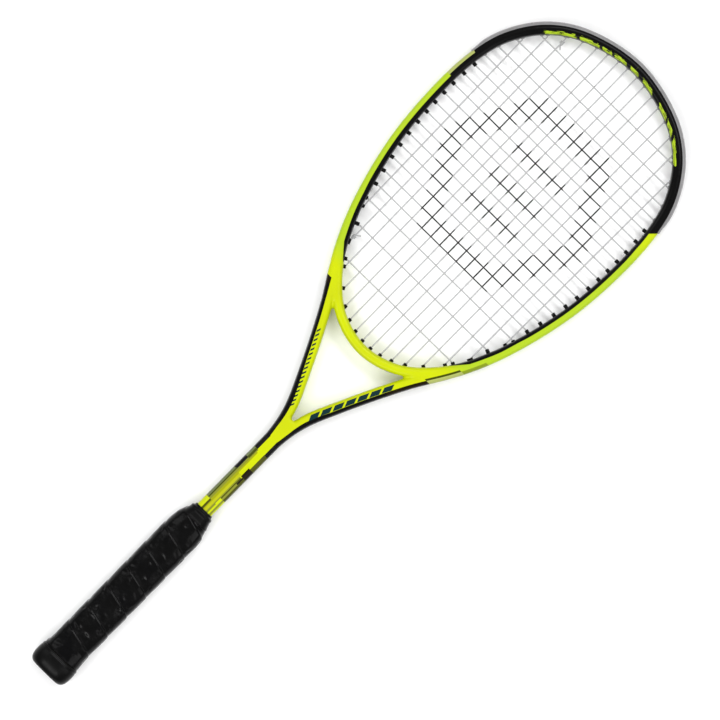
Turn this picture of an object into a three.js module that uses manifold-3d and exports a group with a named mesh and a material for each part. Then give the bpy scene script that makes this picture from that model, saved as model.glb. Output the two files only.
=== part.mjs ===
// A strung squash racket: a hollow moulded frame with a throat bridge, a bumper guard and
// grommet strips, one main string, one cross string, and a handle with its butt cap and grip.
// Units are millimetres. The racket lies flat: +Y runs from the butt to the head, the string
// plane is z = 0, and the origin is the middle of the butt cap's flat end.
import * as THREE from "three";
import { mergeVertices } from "three/addons/utils/BufferGeometryUtils.js";
import Module from "manifold-3d";

const wasm = await Module();
wasm.setup();

// ---- Driving dimensions --------------------------------------------------------------------
const GAP = 0.3; // clearance between pieces that touch on the real racket
const WALL = 1.4; // moulded tube wall
const CROWN_EXTRA = 0.6; // more wall on the front and back of the tube
const BEVEL = { across: 1.7, up: 2.6 }; // eased edges of the tube's section
const FINEST_DETAIL = 0.02;
const CUT_PAST = 3; // cutters run this far past the surface that they open

const STRING_RADIUS = 0.6;
const STRING_SIDES = 4;
const WEAVE_HEIGHT = 1.4; // height of a cross string over or under a main string
const LOOP_SIDE = 1.3; // how far a string's outer loop lies to one side of the groove

const BARREL_SIDES = 5;
const HOLE_RADIUS = 2.35; // drilled string hole
const BARREL_RADIUS = 1.95; // grommet barrel
const BORE_RADIUS = 1.4; // bore of a grommet barrel
// How far barrels stand inside the head: at the bumper, at the sides, at the throat bridge, and
// where an outer main string runs close by.
const PROUD = { bumper: 1.0, side: 2.6, bridge: 1.2, tight: 0.7 };
const TIGHT_CROSS = 16; // this cross string enters right beside the last main string

const GROOVE_DEPTH = 2.8; // string groove in the outer flank of the head
const GROOVE_HALF = 3.4;
const STRIP_HALF = 3.1;
const STRIP_THICK = 0.6;
const STRIP_FLOOR = GROOVE_DEPTH - GAP; // strip's lower face, measured in from the flank
const STRIP_TOP = STRIP_FLOOR - STRIP_THICK;
const LOOP_DEPTH = 0.7; // string centre in the groove, measured in from the flank
const TURN_DEPTH = 1.0; // where a string starts to turn out of its barrel
const TURN_REACH = 2.2; // distance along the groove that the turn takes
const LOOP_STEP = 9; // longest straight piece of a loop
const RUN_IN = { beside: 5, flat: 0.9 }; // a main this near a cross string's mouth gets a flat top

const BUMPER_PROUD = 1.9; // bumper's lips stand this far outside the frame
const BUMPER_CHANNEL_HALF = 2.3;
const BUMPER_LIP = { outer: 5.2, shoulder: 6.4, top: 7.4, wrap: 0.28, crest: 0.5 };
const FLANGE = { half: 2.6, reach: 0.014 }; // bridge grommet's flange, reach as a share of the path
const BRIDGE_GROOVE_PAST = 0.03; // the bridge's groove runs on past its last grommet
const BUMPER_END_Y = 596.5; // where bumper and side strips meet
const FRAME_END_Y = 8; // butt end of the shaft
const SIDE_STRIP_END_Y = 371; // lower end of the side strips, on the throat legs

// Half of the main tube's centreline, from the top of the head down the +X side to the end of
// the shaft. "steps" is the number of facets up to the next station, and "cavity" holds the
// hollow's inner and outer faces across the tube, measured from the centreline. "merge" is how
// far a station's inner face is carried on, so that the two halves join into one shaft.
const TUBE_STATIONS = [
  { x: 0, y: 679.6, halfWidth: 4.5, halfHeight: 9, cavity: [-3.1, 0.4], steps: 3 },
  { x: 48.2, y: 669.0, halfWidth: 4.5, halfHeight: 9, cavity: [-3.1, 0.4], steps: 3 },
  { x: 74.8, y: 650.8, halfWidth: 4.5, halfHeight: 9, cavity: [-3.1, 0.4], steps: 3 },
  { x: 93.0, y: 624.0, halfWidth: 4.5, halfHeight: 9, cavity: [-3.1, 0.4], steps: 2 },
  { x: 100.6, y: 596.7, halfWidth: 4.5, halfHeight: 9, cavity: [-3.1, 0.4], steps: 2 },
  { x: 103.0, y: 558.0, halfWidth: 4.5, halfHeight: 9, cavity: [-3.1, 0.4], steps: 3 },
  { x: 98.7, y: 501.8, halfWidth: 4.5, halfHeight: 9, cavity: [-3.1, 0.4], steps: 3 },
  { x: 84.3, y: 444.5, halfWidth: 4.6, halfHeight: 9, cavity: [-3.1, 0.4], steps: 2 },
  { x: 68.0, y: 407.0, halfWidth: 4.9, halfHeight: 9.2, cavity: [-3.4, 0.7], steps: 2 },
  { x: 44.8, y: 368.1, halfWidth: 5.0, halfHeight: 9.4, cavity: [-3.5, 0.8], steps: 2 },
  { x: 19.7, y: 317.5, halfWidth: 5.0, halfHeight: 9.5, cavity: [-3.5, 3.5], steps: 3 },
  { x: 7.6, y: 288.6, halfWidth: 5.0, halfHeight: 9.5, cavity: [-3.3, 3.4], steps: 3 },
  { x: 4.1, y: 266.0, halfWidth: 4.0, halfHeight: 9.5, cavity: [-4.5, 2.6], merge: 2.2, steps: 1 },
  { x: 3.7, y: 235.0, halfWidth: 3.9, halfHeight: 9.5, cavity: [-4.2, 2.4], merge: 2.2, steps: 1 },
  { x: 3.7, y: 2.0, halfWidth: 3.9, halfHeight: 9.5, cavity: [-4.2, 2.4], merge: 2.2, steps: 1 },
];

// Half of the throat bridge's centreline, from its middle out into the main tube.
const BRIDGE_STATIONS = [
  { x: 0, y: 363.7, halfWidth: 4.4, halfHeight: 8.8, cavity: [-3.0, 0.3], steps: 3 },
  { x: 31.2, y: 371.7, halfWidth: 4.4, halfHeight: 8.8, cavity: [-3.0, 0.3], steps: 2 },
  { x: 54.8, y: 391.4, halfWidth: 4.4, halfHeight: 8.8, cavity: [-3.0, 0.3], steps: 2 },
  { x: 70.0, y: 412.6, halfWidth: 4.4, halfHeight: 8.8, cavity: [-3.0, 0.3], steps: 1 },
  { x: 81.0, y: 437.0, halfWidth: 4.1, halfHeight: 8.4, cavity: [-3.0, 0.3], steps: 1 },
];

// Half of the main strings: x at the head end and at the throat end, from the middle out.
const MAIN_STRINGS = [
  [5.1, 4.5], [14.2, 13.8], [24.4, 23.5], [34.4, 33.7],
  [45.8, 44.6], [57.7, 56.3], [69.3, 67.8], [82.0, 79.6],
];
const BRIDGE_MAINS = 4; // this many mains on each side end in the bridge's own grommets
const HORN_MAINS = 6; // mains up to this one pass through the bridge's horn and the leg behind it

// Tie-off holes, which take a second string: these mains' wider barrels and shifted strings.
const TIE_TOP = 5;
const TIE_FOOT = 6;
const MOUTH_SETBACK = 0.4; // a string bends just before its barrel starts
const TIE_EXTRA = 0.95;
const TIE_SHIFT = 0.85;
const SETTLE = 7; // distance in which a shifted string comes back to the string plane
const HEAD_MIDDLE_Y = 560;
const TIE_TAILS = { top: [-3.0, -3.4, 0.5], foot: [-3.4, 2.2, 0.4] }; // free ends past the hitches
const HITCH = { start: 3.4, pitch: 1.7, turns: 2, radius: 1.45, steps: 14 };

// Cross strings: y, from the head down.
const CROSS_STRINGS = [
  645, 629, 614.8, 602.4, 591, 580, 568.4, 557.9, 547.5, 537.2, 526.4, 514.8, 503.4, 491.9,
  479.4, 467.4, 453.9, 433.9, 407.1,
];

// Handle: half sizes across (x) and through (z) of each layer at each y.
const SHAFT_CLEARANCE = { x: 8.0, z: 9.9, bevel: { across: 2.0, up: 2.9 } };
const PALLET_RINGS = [
  { y: 5.6, x: 12.4, z: 10.9 }, { y: 31.3, x: 12.4, z: 10.9 }, { y: 31.4, x: 14.4, z: 12.6 },
  { y: 148, x: 14.4, z: 12.6 }, { y: 163, x: 12.0, z: 11.8 }, { y: 172, x: 10.1, z: 11.0 },
];
const CAP_RINGS = [
  { y: 0, x: 12.6, z: 11.0 }, { y: 1.0, x: 15.6, z: 13.8 }, { y: 3.2, x: 17.5, z: 15.5 },
  { y: 7, x: 18.5, z: 16.35 }, { y: 12, x: 18.7, z: 16.5 }, { y: 18, x: 18.4, z: 16.3 },
  { y: 18.1, x: 14.4, z: 12.6 }, { y: 31, x: 14.4, z: 12.6 },
];
const CAP_FLOOR = 5.2;
const CAP_SOCKET = { x: 12.7, z: 11.2 };
const GRIP_RINGS = [
  { y: 18.4, x: 18.3, z: 16.2 }, { y: 22, x: 17.6, z: 15.6 }, { y: 27, x: 16.5, z: 14.6 },
  { y: 150, x: 16.5, z: 14.6 }, { y: 157, x: 16.0, z: 14.4 }, { y: 162, x: 15.2, z: 14.0 },
  { y: 167, x: 14.1, z: 13.5 },
];
const GRIP_BORE_RINGS = [
  { y: 18, x: 14.7, z: 12.9 }, { y: 148, x: 14.7, z: 12.9 }, { y: 163, x: 12.4, z: 12.1 },
  { y: 172.4, x: 10.5, z: 11.4 },
];
const COLLAR_RINGS = [
  { y: 167.3, x: 13.9, z: 13.4 }, { y: 172, x: 12.7, z: 12.9 }, { y: 177, x: 10.9, z: 12.1 },
  { y: 180.6, x: 10.0, z: 11.6 }, { y: 183.2, x: 9.3, z: 11.2 },
];
const RING_POINTS = 16;
const RING_SQUARENESS = 2.8; // 2 is an ellipse, higher is squarer
// Butt cap staples, one in each narrow side: leg tips and crown are at these distances from x = 0.
const STAPLE = { y: 25, crown: 9, tip: 10, top: 13.55, wire: 0.8 };

// ---- Solids ---------------------------------------------------------------------------------
// A closed three.js geometry as a manifold-3d solid, always facing outwards.
function solid(geometry) {
  const positions = new THREE.BufferGeometry();
  const source = geometry.index ? geometry.toNonIndexed() : geometry;
  positions.setAttribute("position", source.getAttribute("position"));
  const merged = mergeVertices(positions, 1e-3);
  return new wasm.Manifold(
    new wasm.Mesh({
      numProp: 3,
      vertProperties: merged.attributes.position.array,
      triVerts: new Uint32Array(merged.index.array),
    }),
  );
}

// A solid as a geometry, with facets too small to matter merged away.
function geometryOf(manifold) {
  const mesh = manifold.asOriginal().simplify(FINEST_DETAIL).getMesh();
  const positions = new Float32Array(mesh.numVert * 3);
  for (let i = 0; i < mesh.numVert; i++) {
    const start = i * mesh.numProp;
    positions.set(mesh.vertProperties.subarray(start, start + 3), i * 3);
  }
  const geometry = new THREE.BufferGeometry();
  geometry.setAttribute("position", new THREE.BufferAttribute(positions, 3));
  geometry.setIndex(new THREE.BufferAttribute(mesh.triVerts, 1));
  geometry.computeVertexNormals();
  return geometry;
}

const joined = (solids) => wasm.Manifold.union(solids);

// A closed skin over rings of points, with both ends capped. "outline" is the ring in 2-D,
// used to triangulate the caps.
function loft(rings, outline) {
  const sides = outline.length;
  const positions = rings.flat().flatMap((p) => [p.x, p.y, p.z]);
  const faces = [];
  for (let r = 0; r < rings.length - 1; r++) {
    for (let k = 0; k < sides; k++) {
      const a = r * sides + k;
      const b = r * sides + ((k + 1) % sides);
      faces.push(a, b, b + sides, a, b + sides, a + sides);
    }
  }
  const last = (rings.length - 1) * sides;
  const reversed = THREE.ShapeUtils.isClockWise(outline);
  for (const [i, m, n] of THREE.ShapeUtils.triangulateShape(outline, [])) {
    const [j, k] = reversed ? [n, m] : [m, n];
    faces.push(i, k, j, last + i, last + j, last + k);
  }
  const geometry = new THREE.BufferGeometry();
  geometry.setAttribute("position", new THREE.Float32BufferAttribute(positions, 3));
  geometry.setIndex(faces);
  return solid(volumeOf(geometry) < 0 ? flipped(geometry) : geometry);
}

function volumeOf(geometry) {
  const p = geometry.attributes.position;
  const corner = (i) => new THREE.Vector3().fromBufferAttribute(p, geometry.index.getX(i));
  let total = 0;
  for (let i = 0; i < geometry.index.count; i += 3) {
    total += corner(i).dot(corner(i + 1).cross(corner(i + 2))) / 6;
  }
  return total;
}

function flipped(geometry) {
  geometry.setIndex(Array.from(geometry.index.array).reverse());
  return geometry;
}

// ---- Paths in the string plane --------------------------------------------------------------
// A planar centreline through mirrored stations, which run from the middle out. Its direction is
// chosen so that the outside of the head is always on its left.
class TubePath {
  constructor(stations, direction) {
    const mirrored = stations.slice(1).reverse().map((s) => ({ ...s, x: -s.x }));
    const across = [...mirrored, ...stations];
    this.stations = direction > 0 ? across : across.reverse();
    this.spans = this.stations.length - 1;
    const point = (s) => new THREE.Vector3(s.x, s.y, 0);
    const size = (s) => new THREE.Vector3(s.halfWidth, s.halfHeight, s.merge ?? 0);
    const hollow = (s) => new THREE.Vector3(s.cavity[0], s.cavity[1], 0);
    const curve = (of) => new THREE.CatmullRomCurve3(this.stations.map(of), false, "centripetal");
    this.centre = curve(point);
    this.size = curve(size);
    this.hollow = curve(hollow);
  }

  // Where the path is at t, with its size and its outward direction.
  at(t) {
    const centre = this.centre.getPoint(t);
    const tangent = this.centre.getTangent(t);
    const out = new THREE.Vector3(-tangent.y, tangent.x, 0).normalize();
    const size = this.size.getPoint(t);
    const hollow = this.hollow.getPoint(t);
    const cavity = [hollow.x, hollow.y];
    return { centre, out, halfWidth: size.x, halfHeight: size.y, merge: size.z, cavity };
  }

  // The point "across" outwards of the centreline and "up" above the string plane.
  point(t, across, up) {
    const { centre, out } = this.at(t);
    return centre.addScaledVector(out, across).setZ(up);
  }

  // Facet stations from t0 to t1: each span is cut into its own number of steps.
  cuts(t0, t1) {
    const found = [t0];
    for (let i = 0; i < this.spans; i++) {
      const [a, b] = [this.stations[i], this.stations[i + 1]];
      const steps = (i < this.spans / 2 ? b : a).steps;
      for (let k = 0; k < steps; k++) {
        const t = (i + k / steps) / this.spans;
        if (t > t0 + 1e-3 && t < t1 - 1e-3) found.push(t);
      }
    }
    return [...found, t1];
  }

  // The t between t0 and t1 where measure(t) is zero.
  solve(measure, t0, t1) {
    const rising = measure(t1) > measure(t0);
    for (let i = 0; i < 50; i++) {
      const middle = (t0 + t1) / 2;
      if (measure(middle) > 0 === rising) t1 = middle;
      else t0 = middle;
    }
    return (t0 + t1) / 2;
  }

  // A solid swept from t0 to t1; section(place) lists [across, up] pairs for each ring.
  sweep(section, t0 = 0, t1 = 1) {
    const rings = this.cuts(t0, t1).map((t) =>
      section(this.at(t)).map(([across, up]) => this.point(t, across, up)),
    );
    const outline = section(this.at(t0)).map(([across, up]) => new THREE.Vector2(across, up));
    return loft(rings, outline);
  }
}

const tube = new TubePath(TUBE_STATIONS, 1);
const bridge = new TubePath(BRIDGE_STATIONS, -1);
const tubeT = (station) => 0.5 + (station / (TUBE_STATIONS.length - 1)) * 0.5; // +X side
const bridgeT = (station) => 0.5 - (station / (BRIDGE_STATIONS.length - 1)) * 0.5; // +X side
const yAt = (y, t0, t1) => tube.solve((t) => tube.at(t).centre.y - y, t0, t1);
const BUMPER_END = yAt(BUMPER_END_Y, tubeT(0), tubeT(6));
const STRIP_END = yAt(SIDE_STRIP_END_Y, tubeT(6), tubeT(10));
const END_GAP = 0.0006; // clearance at a strip's ends, as a share of the path

const mirror = (p) => new THREE.Vector3(-p.x, p.y, p.z);
const bothSides = (half) => joined([half, half.mirror([1, 0, 0])]);

// A straight-sided cord through the given points, with mitred corners and flat ends.
function cord(points, radius, sides) {
  const first = new THREE.Vector3().subVectors(points[1], points[0]).normalize();
  const up = new THREE.Vector3(0, 0, 1).addScaledVector(first, -first.z).normalize();
  const side = new THREE.Vector3().crossVectors(first, up);
  const outline = Array.from({ length: sides }, (_, k) => {
    const angle = ((k + 0.5) / sides) * Math.PI * 2;
    return new THREE.Vector2(Math.cos(angle) * radius, Math.sin(angle) * radius);
  });
  let ring = outline.map((o) =>
    points[0].clone().addScaledVector(side, o.x).addScaledVector(up, o.y),
  );
  const rings = [ring];
  for (let i = 1; i < points.length; i++) {
    const along = new THREE.Vector3().subVectors(points[i], points[i - 1]).normalize();
    const next = i + 1 < points.length ? points[i + 1] : null;
    const onward = next ? new THREE.Vector3().subVectors(next, points[i]).normalize() : along;
    const mitre = new THREE.Vector3().addVectors(along, onward).normalize();
    ring = ring.map((p) => {
      const reach = new THREE.Vector3().subVectors(points[i], p).dot(mitre) / along.dot(mitre);
      return p.clone().addScaledVector(along, reach);
    });
    rings.push(ring);
  }
  return loft(rings, outline);
}

// ---- Ring sections --------------------------------------------------------------------------
// Each lists [across, up] pairs round one closed ring.
function bevelled(low, high, half, { across: a, up: u } = BEVEL) {
  return [
    [high, -half + u], [high, half - u], [high - a, half], [low + a, half],
    [low, half - u], [low, -half + u], [low + a, -half], [high - a, -half],
  ];
}

const outerSection = (p) => bevelled(-p.halfWidth - p.merge, p.halfWidth, p.halfHeight);

function cavitySection({ cavity: [low, high], halfHeight }) {
  const half = halfHeight - WALL - CROWN_EXTRA;
  return [[high, -half], [high, half], [low, half], [low, -half]];
}

const clearSection = (p) => bevelled(-p.halfWidth - GAP, p.halfWidth + GAP, p.halfHeight + GAP);

// A plain band lying between two depths measured in from the outer flank.
const band = (top, floor, half) => (p) => {
  const [high, low] = [p.halfWidth - top, p.halfWidth - floor];
  return [[high, -half], [high, half], [low, half], [low, -half]];
};

// A strip in the groove with a lip each side, which wraps the tube's flank up to its bevel.
function bumperSection(p) {
  const outer = p.halfWidth;
  const { outer: edge, shoulder, top, wrap, crest } = BUMPER_LIP;
  const half = [
    [outer - STRIP_FLOOR, STRIP_HALF], [outer + GAP, STRIP_HALF], [outer + GAP, shoulder],
    [outer - wrap, top], [outer + crest, top], [outer + BUMPER_PROUD, edge],
    [outer + BUMPER_PROUD, BUMPER_CHANNEL_HALF], [outer - STRIP_TOP, BUMPER_CHANNEL_HALF],
  ];
  return [...half.map(([a, u]) => [a, -u]).reverse(), ...half].reverse();
}

// ---- String ends ----------------------------------------------------------------------------
// One place where a string passes out of the head, on the +X side. "mouth" is the inner end of
// its grommet barrel, and t is where the barrel meets the string groove of "path".
function throughTube(mouth, t0, t1) {
  const t = tube.solve((s) => {
    const { centre, out } = tube.at(s);
    return (mouth.x - centre.x) * out.y - (mouth.y - centre.y) * out.x;
  }, t0, t1);
  return { path: tube, mouth, t };
}

function mouthOn(path, proud, axis, value, t0, t1) {
  const mouth = (t) => path.point(t, -path.at(t).halfWidth - proud, 0);
  return mouth(path.solve((t) => mouth(t)[axis] - value, t0, t1));
}

function throughBridge(x) {
  const mouth = mouthOn(bridge, PROUD.bridge, "x", x, 0.5, bridgeT(3));
  const out = (t) => bridge.point(t, bridge.at(t).halfWidth - TURN_DEPTH, 0);
  return { path: bridge, mouth, t: bridge.solve((t) => out(t).x - x, 0.5, bridgeT(3)) };
}

const flank = (end, depth, up = 0, t = end.t) =>
  end.path.point(t, end.path.at(t).halfWidth - depth, up);

const MAIN_TOPS = MAIN_STRINGS.map(([x]) =>
  throughTube(mouthOn(tube, PROUD.bumper, "x", x, 0.5, tubeT(4)), 0.5, tubeT(6)));
const MAIN_FEET = MAIN_STRINGS.map(([, x], i) => {
  if (i < BRIDGE_MAINS) return throughBridge(x);
  const mouth = i < HORN_MAINS
    ? mouthOn(bridge, PROUD.bridge, "x", x, bridgeT(0), bridgeT(3.9))
    : mouthOn(tube, PROUD.tight, "x", x, tubeT(5), tubeT(9));
  return throughTube(mouth, tubeT(6), tubeT(10));
});
const CROSS_ENDS = CROSS_STRINGS.map((y, i) => {
  const beside = i === TIGHT_CROSS ? PROUD.tight : PROUD.side;
  const proud = y > BUMPER_END_Y ? PROUD.bumper : beside;
  const mouth = i === CROSS_STRINGS.length - 1
    ? mouthOn(bridge, PROUD.bridge, "y", y, bridgeT(0), bridgeT(4))
    : mouthOn(tube, proud, "y", y, 0.51, tubeT(9));
  return throughTube(mouth, 0.5, tubeT(10));
});
MAIN_TOPS[TIE_TOP].tie = true;
MAIN_FEET[TIE_FOOT].tie = true;

// A straight rod along a grommet barrel, from "before" the mouth out to "depth" at the flank.
function rod(end, radius, before, depth) {
  const turn = flank(end, TURN_DEPTH);
  const axis = new THREE.Vector3().subVectors(turn, end.mouth).normalize();
  const inner = end.mouth.clone().addScaledVector(axis, -before);
  return cord([inner, turn.addScaledVector(axis, TURN_DEPTH - depth)], radius, BARREL_SIDES);
}

const widened = (end, radius) => radius + (end.tie ? TIE_EXTRA : 0);
const hole = (end) => rod(end, widened(end, HOLE_RADIUS), 1, -CUT_PAST);
const barrel = (end) => rod(end, widened(end, BARREL_RADIUS), -MOUTH_SETBACK, STRIP_TOP);
const bore = (end) => rod(end, widened(end, BORE_RADIUS), 1, -CUT_PAST);

const ENDS = [...MAIN_TOPS, ...MAIN_FEET, ...CROSS_ENDS];
const TUBE_ENDS = ENDS.filter((end) => end.path === tube);

// ---- Frame ----------------------------------------------------------------------------------
function tubeSolid(section) {
  return bothSides(tube.sweep(section, 0.5, 1));
}

function bridgeSolid(section) {
  return bothSides(bridge.sweep(section, 0, 0.5));
}

const largest = (manifold) =>
  manifold.decompose().sort((a, b) => b.volume() - a.volume())[0];

function frame() {
  const groove = tube.sweep(band(-CUT_PAST, GROOVE_DEPTH, GROOVE_HALF), 0.5, STRIP_END);
  const cut = joined([groove, ...ENDS.map(hole)]);
  const body = tubeSolid(outerSection).subtract(tubeSolid(cavitySection));
  return largest(body.subtract(bothSides(cut)).trimByPlane([0, 1, 0], FRAME_END_Y));
}

function throatBridge() {
  const lastMain = MAIN_FEET[BRIDGE_MAINS - 1].t - BRIDGE_GROOVE_PAST;
  const groove = bridge.sweep(band(-CUT_PAST, GROOVE_DEPTH, GROOVE_HALF), lastMain, 0.5);
  const body = bridgeSolid(outerSection).subtract(bridgeSolid(cavitySection));
  const cut = bothSides(joined([groove, ...ENDS.map(hole)]));
  return largest(body.subtract(tubeSolid(clearSection)).subtract(cut));
}

function bumperGuard() {
  const ends = TUBE_ENDS.filter((end) => end.t < BUMPER_END);
  const half = joined([tube.sweep(bumperSection, 0.5, BUMPER_END), ...ends.map(barrel)]);
  return bothSides(half.subtract(joined(ends.map(bore))));
}

function grommetStrip() {
  const ends = TUBE_ENDS.filter((end) => end.t > BUMPER_END);
  const [start, end] = [BUMPER_END + END_GAP, STRIP_END - END_GAP];
  const strip = tube.sweep(band(STRIP_TOP, STRIP_FLOOR, STRIP_HALF), start, end);
  return joined([strip, ...ends.map(barrel)]).subtract(joined(ends.map(bore)));
}

function bridgeGrommet(end) {
  const section = band(STRIP_TOP, STRIP_FLOOR, FLANGE.half);
  const flange = bridge.sweep(section, end.t - FLANGE.reach, end.t + FLANGE.reach);
  const body = joined([flange, barrel(end)]).subtract(bore(end));
  return largest(body.subtract(tubeSolid(clearSection)));
}

// ---- Strings --------------------------------------------------------------------------------
// The points of one string end on one side (+1 or -1), from inside the head into the groove.
// "lift" is the side of the groove it takes and "toT" the end it is heading for.
function turnOut(end, side, lift, toT) {
  const shift = end.tie ? TIE_SHIFT * Math.sign(lift) : 0;
  const step = (TURN_REACH / end.path.centre.getLength()) * Math.sign(toT - end.t);
  const points = [
    end.mouth.clone().setZ(shift),
    flank(end, TURN_DEPTH, shift),
    flank(end, LOOP_DEPTH, lift, end.t + step),
  ];
  if (end.tie && lift < 0) points.unshift(settled(end));
  return points.map((p) => (side > 0 ? p : mirror(p)));
}

// Where the main string of a tie-off end comes back to the string plane.
function settled(end) {
  const inwards = end.mouth.y > HEAD_MIDDLE_Y ? -SETTLE : SETTLE;
  return end.mouth.clone().add(new THREE.Vector3(0, inwards, 0));
}

// Points along the groove from one t to another, without the first and last.
function along(path, from, to, side, lift) {
  const pieces = Math.max(1, Math.round((Math.abs(to - from) * path.centre.getLength()) / LOOP_STEP));
  return Array.from({ length: pieces - 1 }, (_, i) => {
    const p = flank({ path, t: from + ((to - from) * (i + 1)) / pieces }, LOOP_DEPTH, lift);
    return side > 0 ? p : mirror(p);
  });
}

// Out through one end and back in through another on the same side.
function loop(a, b, side, lift) {
  return [
    ...turnOut(a, side, lift, b.t),
    ...along(a.path, a.t, b.t, side, lift),
    ...turnOut(b, side, lift, a.t).reverse(),
  ];
}

// The tail of a tied-off string: turns round the main string at "end", then a free end.
function hitch(end, side, free) {
  const base = end.mouth.clone().setZ(-TIE_SHIFT);
  const axis = settled(end).sub(base).normalize();
  const up = new THREE.Vector3(0, 0, 1).addScaledVector(axis, -axis.z).normalize();
  const across = new THREE.Vector3().crossVectors(axis, up);
  const points = Array.from({ length: HITCH.steps + 1 }, (_, i) => {
    const turned = (i / HITCH.steps) * HITCH.turns;
    const angle = turned * Math.PI * 2;
    return base.clone()
      .addScaledVector(axis, HITCH.start + turned * HITCH.pitch)
      .addScaledVector(up, Math.cos(angle) * HITCH.radius)
      .addScaledVector(across, Math.sin(angle) * HITCH.radius);
  });
  points.push(points[points.length - 1].clone().add(new THREE.Vector3(...free)));
  return points.map((p) => (side > 0 ? p : mirror(p)));
}

const LAST = MAIN_STRINGS.length - 1;
const HANDOVER = (MAIN_TOPS[LAST].t + CROSS_ENDS[0].t) / 2; // where mains turn into crosses
const HANDOVER_GAP = 0.0003;

// One side's half of the main string, from the middle of the head outwards.
function mainHalf(side) {
  const points = turnOut(MAIN_TOPS[0], side, -LOOP_SIDE, 0.5).reverse();
  for (let i = 0; i < MAIN_STRINGS.length; i += 2) {
    points.push(...loop(MAIN_FEET[i], MAIN_FEET[i + 1], side, -LOOP_SIDE));
    if (i + 2 < MAIN_STRINGS.length) {
      points.push(...loop(MAIN_TOPS[i + 1], MAIN_TOPS[i + 2], side, -LOOP_SIDE));
    }
  }
  return [...points, ...turnOut(MAIN_TOPS[LAST], side, -LOOP_SIDE, 0.5)];
}

function mainString() {
  const tie = MAIN_TOPS[TIE_TOP];
  const [seven, cross] = [MAIN_TOPS[LAST - 1].t, CROSS_ENDS[0].t];
  const quarter = (cross - seven) / 4;
  const tail = [
    mirror(flank({ path: tube, t: cross - quarter }, LOOP_DEPTH, -LOOP_SIDE)),
    mirror(flank({ path: tube, t: seven + quarter }, LOOP_DEPTH, LOOP_SIDE)),
    ...along(tube, seven, tie.t, -1, LOOP_SIDE),
    ...turnOut(tie, -1, LOOP_SIDE, seven).reverse(),
    ...hitch(tie, -1, TIE_TAILS.top),
  ];
  const end = flank({ path: tube, t: HANDOVER + HANDOVER_GAP }, LOOP_DEPTH, 0);
  return cord([...tail.reverse(), ...mainHalf(-1).reverse(), ...mainHalf(1), end],
    STRING_RADIUS, STRING_SIDES);
}

// The x of every main string at height y, from the left to the right.
function mainsAt(y) {
  const right = MAIN_TOPS.map((top, i) => {
    const foot = MAIN_FEET[i];
    const reached = foot.mouth.y < y && y < top.mouth.y;
    const share = (y - foot.mouth.y) / (top.mouth.y - foot.mouth.y);
    return { x: foot.mouth.x + (top.mouth.x - foot.mouth.x) * share, order: i, reached };
  });
  const left = right.map((m) => ({ ...m, x: -m.x, order: -1 - m.order })).reverse();
  return [...left, ...right].filter((m) => m.reached);
}

// One cross string from the right to the left, over and under the mains.
function weave(end, row) {
  const y = end.mouth.y;
  const points = mainsAt(y).reverse().map(({ x, order }) => {
    const over = (order + row) % 2 === 0 ? 1 : -1;
    return new THREE.Vector3(x, y, over * WEAVE_HEIGHT);
  });
  const [first, last] = [points[0], points[points.length - 1]];
  if (end.mouth.x - first.x < RUN_IN.beside) {
    points.unshift(first.clone().setX(first.x + RUN_IN.flat));
    points.push(last.clone().setX(last.x - RUN_IN.flat));
  }
  return points;
}

function crossString() {
  const start = flank({ path: tube, t: HANDOVER - HANDOVER_GAP }, LOOP_DEPTH, 0);
  const points = [start, ...turnOut(CROSS_ENDS[0], 1, LOOP_SIDE, HANDOVER).reverse()];
  CROSS_ENDS.forEach((end, row) => {
    const side = row % 2 === 0 ? -1 : 1;
    const woven = weave(end, row);
    points.push(...(side < 0 ? woven : woven.reverse()));
    if (row + 1 < CROSS_ENDS.length) {
      points.push(...loop(end, CROSS_ENDS[row + 1], side, LOOP_SIDE));
    }
  });
  const tie = MAIN_FEET[TIE_FOOT];
  const last = CROSS_ENDS[CROSS_ENDS.length - 1];
  points.push(...loop(last, tie, -1, LOOP_SIDE), ...hitch(tie, -1, TIE_TAILS.foot));
  return cord(points, STRING_RADIUS, STRING_SIDES);
}

// ---- Handle ---------------------------------------------------------------------------------
// A rounded rectangular ring: half sizes x and z, at height y.
function roundedRing({ x, z, y }) {
  return Array.from({ length: RING_POINTS }, (_, k) => {
    const angle = ((k + 0.5) / RING_POINTS) * Math.PI * 2;
    const [c, s] = [Math.cos(angle), Math.sin(angle)];
    const reach = (Math.abs(c) ** RING_SQUARENESS + Math.abs(s) ** RING_SQUARENESS)
      ** (-1 / RING_SQUARENESS);
    return new THREE.Vector3(x * c * reach, y, z * s * reach);
  });
}

function roundedLoft(stations) {
  const outline = roundedRing(stations[0]).map((p) => new THREE.Vector2(p.z, p.x));
  return loft(stations.map(roundedRing), outline);
}

const box = (x0, x1, y0, y1, z0, z1) => solid(
  new THREE.BoxGeometry(x1 - x0, y1 - y0, z1 - z0)
    .translate((x0 + x1) / 2, (y0 + y1) / 2, (z0 + z1) / 2),
);

function shaftClearance() {
  const { x, z, bevel } = SHAFT_CLEARANCE;
  const ring = (y) => bevelled(-x, x, z, bevel).map(([a, u]) => new THREE.Vector3(a, y, u));
  return loft([ring(-1), ring(200)], ring(0).map((p) => new THREE.Vector2(p.z, p.x)));
}

function staplePath(side) {
  const { y, crown, tip, top } = STAPLE;
  const point = (x, z) => new THREE.Vector3(side * x, y, z);
  return [point(tip, -crown / 2), point(top, -crown / 2), point(top, crown / 2), point(tip, crown / 2)];
}

const staple = (side) => cord(staplePath(side), STAPLE.wire / 2, 4);

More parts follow.
